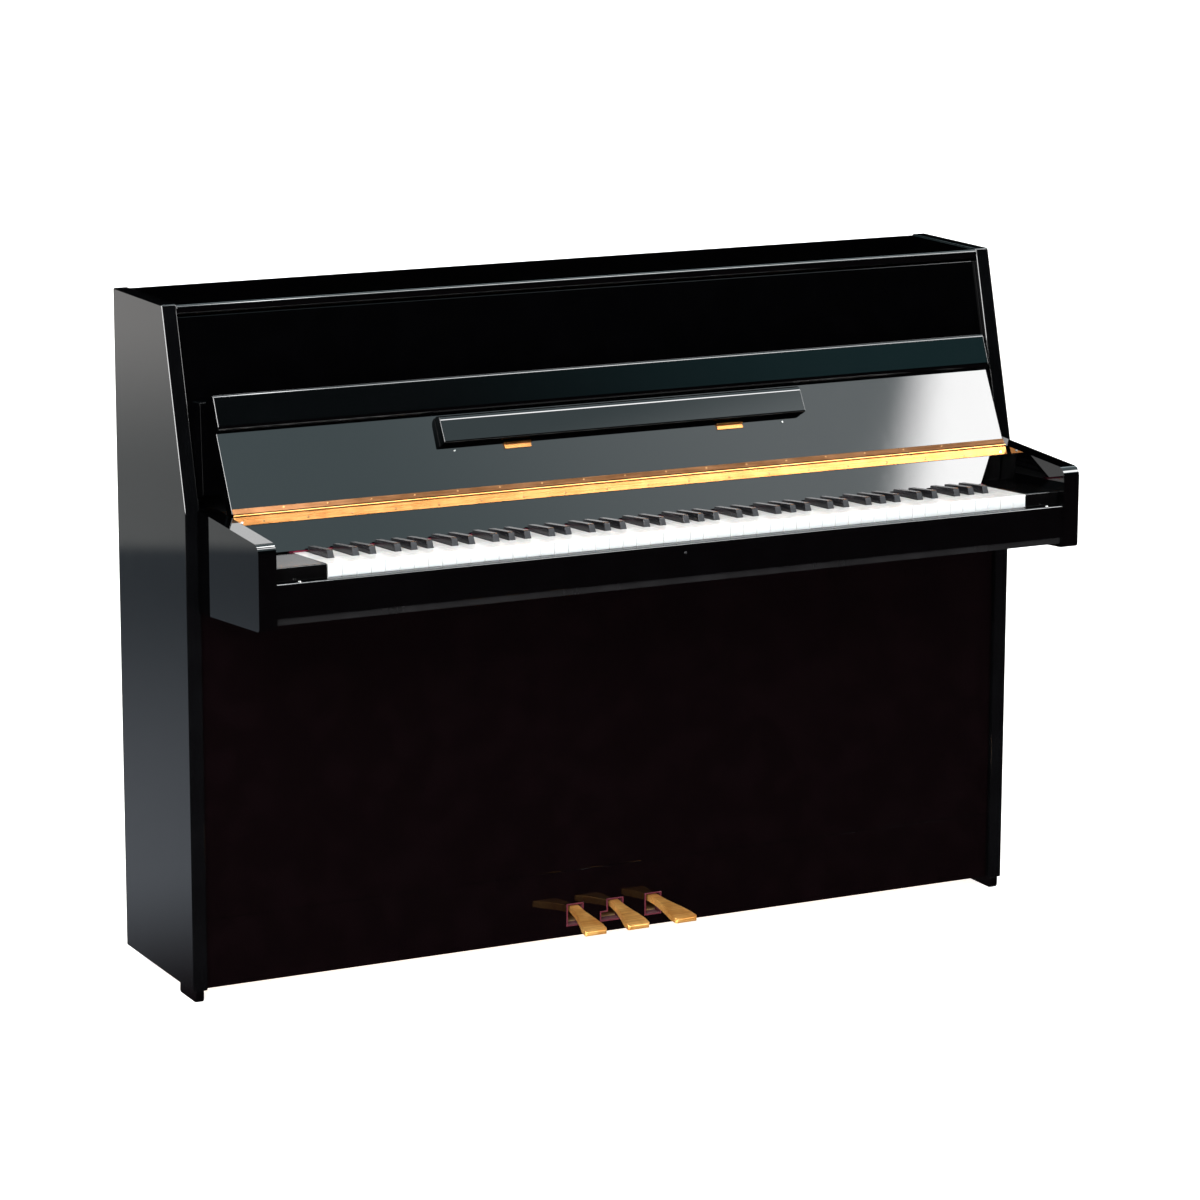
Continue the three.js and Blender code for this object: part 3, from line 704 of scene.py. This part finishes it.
screwTree = makeScrewTree()
for label, look in screwSets.items():
    seeds = bpy.data.meshes.new(label)
    start, step = Vector(look["from"]), Vector(look["step"])
    seeds.from_pydata([(start + step * i) * millimetre for i in range(look["count"])], [], [])
    holder = addObject(label, seeds)
    modifier = holder.modifiers.new("screws", "NODES")
    modifier.node_group = screwTree
    for socket, value in (
            ("Radius", look["radius"] * millimetre), ("Height", look["height"] * millimetre),
            ("Tilt", math.radians(look["tilt"])), ("Seed", screwHead["seed"]),
            ("Finish", finishes[look["finish"]])):
        setInput(modifier, socket, value)
    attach(bake(holder, label, look["finish"]), bodyOf(look["body"]))
print("screws:", sum(look["count"] for look in screwSets.values()))


# lifting bars and lock button
liftingBar = {
    "radius": 15, "waist": 12.5, "y": 232, "z": 640, "rings": 13, "sides": 28,
    "spans": {"left": (-528, -312), "right": (312, 528)},
}
lockButton = {"x": -3, "y": -263.9, "z": 697, "radius": 2.2, "taper": 0.75, "depth": 0.7, "sides": 24}


def latheAlongX(name, rings, sides, centre, finish):
    # rings are (x, radius) pairs; the two ends are closed
    shape = bmesh.new()
    loops = []
    angles = [2 * math.pi * k / sides for k in range(sides)]
    for x, radius in rings:
        spots = [(x, centre[0] + radius * math.cos(a), centre[1] + radius * math.sin(a)) for a in angles]
        loops.append([shape.verts.new(spot) for spot in spots])
    for one, two in zip(loops, loops[1:]):
        for k in range(sides):
            j = (k + 1) % sides
            shape.faces.new((one[k], one[j], two[j], two[k]))
    shape.faces.new(loops[0])
    shape.faces.new(loops[-1])
    bmesh.ops.scale(shape, vec=(millimetre,) * 3, verts=shape.verts)
    piece = pieceFrom(shape, name, finish)
    for face in piece.data.polygons:
        face.use_smooth = len(face.vertices) == 4
    return piece


def makeLiftingBar(side):
    look = liftingBar
    low, high = look["spans"][side]
    rings = []
    for i in range(look["rings"]):
        share = i / (look["rings"] - 1)
        swell = look["waist"] + (look["radius"] - look["waist"]) * math.sin(math.pi * share) ** 2
        rings.append((low + (high - low) * share, swell))
    bar = latheAlongX("lifting_bar_" + side, rings, look["sides"], (look["y"], look["z"]), "keyWood")
    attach(bar, bodyOf("back_frame"))


def makeLockButton():
    look = lockButton
    shape = bmesh.new()
    spot = Matrix.Translation(Vector((look["x"], look["y"] - look["depth"] / 2, look["z"])) * millimetre)
    bmesh.ops.create_cone(
        shape, cap_ends=True, segments=look["sides"], radius1=look["radius"] * millimetre,
        radius2=look["radius"] * look["taper"] * millimetre, depth=look["depth"] * millimetre,
        matrix=spot @ Matrix.Rotation(math.radians(90), 4, "X"))
    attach(pieceFrom(shape, "lock_button", "blackIron"), bodyOf("key_slip"))


for side in liftingBar["spans"]:
    makeLiftingBar(side)
makeLockButton()
print("lifting bars and lock button")


# studio
# the surroundings are plain for the camera and for soft light, and painted for mirror reflections only
# directions are in degrees: turn goes round from the front, rise goes up from level
degreesPerRadian = 57.2958
room = {
    "fill": 1.15,
    "dark": (0.04, 0.06, 0.065), "teal": (0.16, 0.40, 0.44), "dimFade": (29, 37), "lowFade": (24, 29),
    "wall": (1.25, 1.62, 1.72), "wallFar": (2.6, 2.9, 3.0), "wallFade": (30, 38),
    "wallFoot": (34.0, 35.0), "sagReach": (20, 42), "sagSlope": 0.3, "sagLift": -10.2,
    "upper": 0.72, "upperFade": (40.1, 42.5), "slantRise": 35.5,
    "ceiling": 9.0, "ceilingFade": (66, 78),
}
brightAreas = {
    "box": {"slanted": True, "start": (37.9, 39.3), "end": (64, 56), "foot": (32.5, 34.8), "top": (52, 46),
            "strength": 22.0},
    "overhead": {"slanted": False, "start": (37, 42), "end": (64, 56), "foot": (45, 47.5), "top": (62, 57),
                 "strength": 24.0},
    "edgeLeft": {"slanted": False, "start": (-143, -133), "end": (-32, -40), "foot": (-12, -4),
                 "top": (44, 30), "strength": 24.0},
    "edgeRight": {"slanted": False, "start": (64, 74), "end": (125, 110), "foot": (-12, -4),
                  "top": (36, 26), "strength": 12.0},
}
# front, near, middle, far and edge are painted reflection: colours the floor glows with for mirror rays only
floorLook = {
    "size": 60, "light": 0.85, "paint": 0.8, "behind": (-0.05, 0.75), "front": (0.022, 0.013, 0.015),
    "near": (0.42, 0.46, 0.52), "middle": (0.14, 0.165, 0.19), "nearFade": (1.0, 3.6),
    "far": (0.5, 0.52, 0.52), "farFade": (3.75, 3.95), "edge": (1.1, 1.08, 1.06), "edgeFade": (4.6, 7.5),
}
lamps = {
    "softLight": {"place": (-3.2, -3.6, 3.4), "aim": (0, 0, 0.7), "size": (2.4, 2.0), "power": 310.0},
    "armLight": {"place": (-0.312, -0.262, 1.645), "aim": (-0.655, -0.062, 0.832), "size": (0.2, 0.14),
                 "power": 2.6},
}


def addBackground(tree, strength=1.0):
    made = tree.nodes.new("ShaderNodeBackground")
    made.inputs["Color"].default_value = (1, 1, 1, 1)
    made.inputs["Strength"].default_value = strength
    return made


def makeRoom():
    world = bpy.data.worlds.new("studioRoom")
    bpy.context.scene.world = world
    world.use_nodes = True
    tree = world.node_tree
    tree.nodes.clear()
    out = tree.nodes.new("ShaderNodeOutputWorld")
    plain = addBackground(tree)
    fill = addBackground(tree, room["fill"])
    shown = addBackground(tree)
    way = tree.nodes.new("ShaderNodeTexCoord")
    parts = tree.nodes.new("ShaderNodeSeparateXYZ")
    tree.links.new(way.outputs["Generated"], parts.inputs[0])
    rise = addMath(tree, "MULTIPLY", addMath(tree, "ARCSINE", parts.outputs["Z"]), degreesPerRadian)
    forward = addMath(tree, "MULTIPLY", parts.outputs["Y"], -1.0)
    turn = addMath(tree, "MULTIPLY", addMath(tree, "ARCTAN2", parts.outputs["X"], forward), degreesPerRadian)

    # dark below, a wall above it whose foot sags towards the treble side
    wall = mixColour(tree, smoothBand(tree, turn, *room["wallFade"]), room["wall"], room["wallFar"])
    dim = mixColour(tree, smoothBand(tree, turn, *room["dimFade"]), room["dark"], room["teal"])
    low = mixColour(tree, smoothBand(tree, rise, *room["lowFade"]), (0, 0, 0), dim)
    nearest, farthest = room["sagReach"]
    ahead = addMath(tree, "MINIMUM", addMath(tree, "MAXIMUM", turn, nearest), farthest)
    lifted = addMath(tree, "ADD", rise, room["sagLift"])
    sag = addMath(tree, "MULTIPLY_ADD", ahead, room["sagSlope"], lifted)
    seen = mixColour(tree, smoothBand(tree, sag, *room["wallFoot"]), low, wall)
    upper = scaled(room["wall"], room["upper"])
    seen = mixColour(tree, smoothBand(tree, rise, *room["upperFade"]), seen, upper)

    # bright areas, each faded at its two sides, foot and top
    slant = addMath(tree, "SUBTRACT", turn, addMath(tree, "SUBTRACT", rise, room["slantRise"]))
    for area in brightAreas.values():
        along = slant if area["slanted"] else turn
        share = addMath(tree, "MULTIPLY", smoothBand(tree, along, *area["start"]),
                        smoothBand(tree, turn, *area["end"]))
        for edge in ("foot", "top"):
            share = addMath(tree, "MULTIPLY", share, smoothBand(tree, rise, *area[edge]))
        seen = mixColour(tree, share, seen, (area["strength"],) * 3)
    lamp = smoothBand(tree, rise, *room["ceilingFade"])
    seen = mixColour(tree, lamp, seen, (room["ceiling"],) * 3)
    tree.links.new(seen, shown.inputs["Color"])
    path = tree.nodes.new("ShaderNodeLightPath")
    first = tree.nodes.new("ShaderNodeMixShader")
    second = tree.nodes.new("ShaderNodeMixShader")
    link(tree, (path.outputs["Is Glossy Ray"], first.inputs[0]), (fill.outputs[0], first.inputs[1]),
         (shown.outputs[0], first.inputs[2]), (path.outputs["Is Camera Ray"], second.inputs[0]),
         (first.outputs[0], second.inputs[1]), (plain.outputs[0], second.inputs[2]),
         (second.outputs[0], out.inputs["Surface"]))


def makeFloor():
    look = floorLook
    size = look["size"]
    mesh = bpy.data.meshes.new("studio_floor")
    corners = [(-size, -size, 0), (size, -size, 0), (size, size, 0), (-size, size, 0)]
    mesh.from_pydata(corners, [], [(0, 1, 2, 3)])
    made, tree, shader, place = startMaterial("floorPaper", Base_Color=(look["paint"],) * 3, Roughness=0.9,
                                              Specular_IOR_Level=0.1)
    shader.inputs["Emission Color"].default_value = (1, 1, 1, 1)
    shader.inputs["Emission Strength"].default_value = look["light"]
    parts = tree.nodes.new("ShaderNodeSeparateXYZ")
    reach = tree.nodes.new("ShaderNodeVectorMath")
    reach.operation = "LENGTH"
    link(tree, (place, parts.inputs[0]), (place, reach.inputs[0]))
    # painted reflection: mirror rays see the floor glowing in these bands, dark in front of the piano; camera
    # and soft light see the plain lit floor
    behind = smoothBand(tree, parts.outputs["Y"], *look["behind"])
    back = mixColour(tree, smoothBand(tree, reach.outputs["Value"], *look["nearFade"]), look["near"],
                     look["middle"])
    back = mixColour(tree, smoothBand(tree, reach.outputs["Value"], *look["farFade"]), back, look["far"])
    back = mixColour(tree, smoothBand(tree, reach.outputs["Value"], *look["edgeFade"]), back, look["edge"])
    seen = mixColour(tree, behind, look["front"], back)
    paintedReflectionGlow = tree.nodes.new("ShaderNodeEmission")
    path = tree.nodes.new("ShaderNodeLightPath")
    choose = tree.nodes.new("ShaderNodeMixShader")
    link(tree, (seen, paintedReflectionGlow.inputs["Color"]), (path.outputs["Is Glossy Ray"], choose.inputs[0]),
         (shader.outputs[0], choose.inputs[1]), (paintedReflectionGlow.outputs[0], choose.inputs[2]),
         (choose.outputs[0], tree.nodes["Material Output"].inputs["Surface"]))
    mesh.materials.append(made)
    floor = addObject("studio_floor", mesh)


def makeLight(name):
    look = lamps[name]
    data = bpy.data.lights.new(name, "AREA")
    data.shape = "RECTANGLE"
    data.size, data.size_y = look["size"]
    data.energy = look["power"]
    lamp = addObject(name, data)
    lamp.location = look["place"]
    lamp.rotation_mode = "QUATERNION"
    lamp.rotation_quaternion = (Vector(look["aim"]) - lamp.location).to_track_quat("-Z", "Y")
    lamp.visible_camera = False
    return lamp


makeRoom()
makeFloor()
makeLight("softLight").visible_glossy = False
makeLight("armLight").visible_diffuse = False  # only mirror reflections show it; placed for the left arm
bpy.context.scene.view_settings.view_transform = "Standard"
bpy.context.scene.view_settings.look = "None"
print("studio ready")
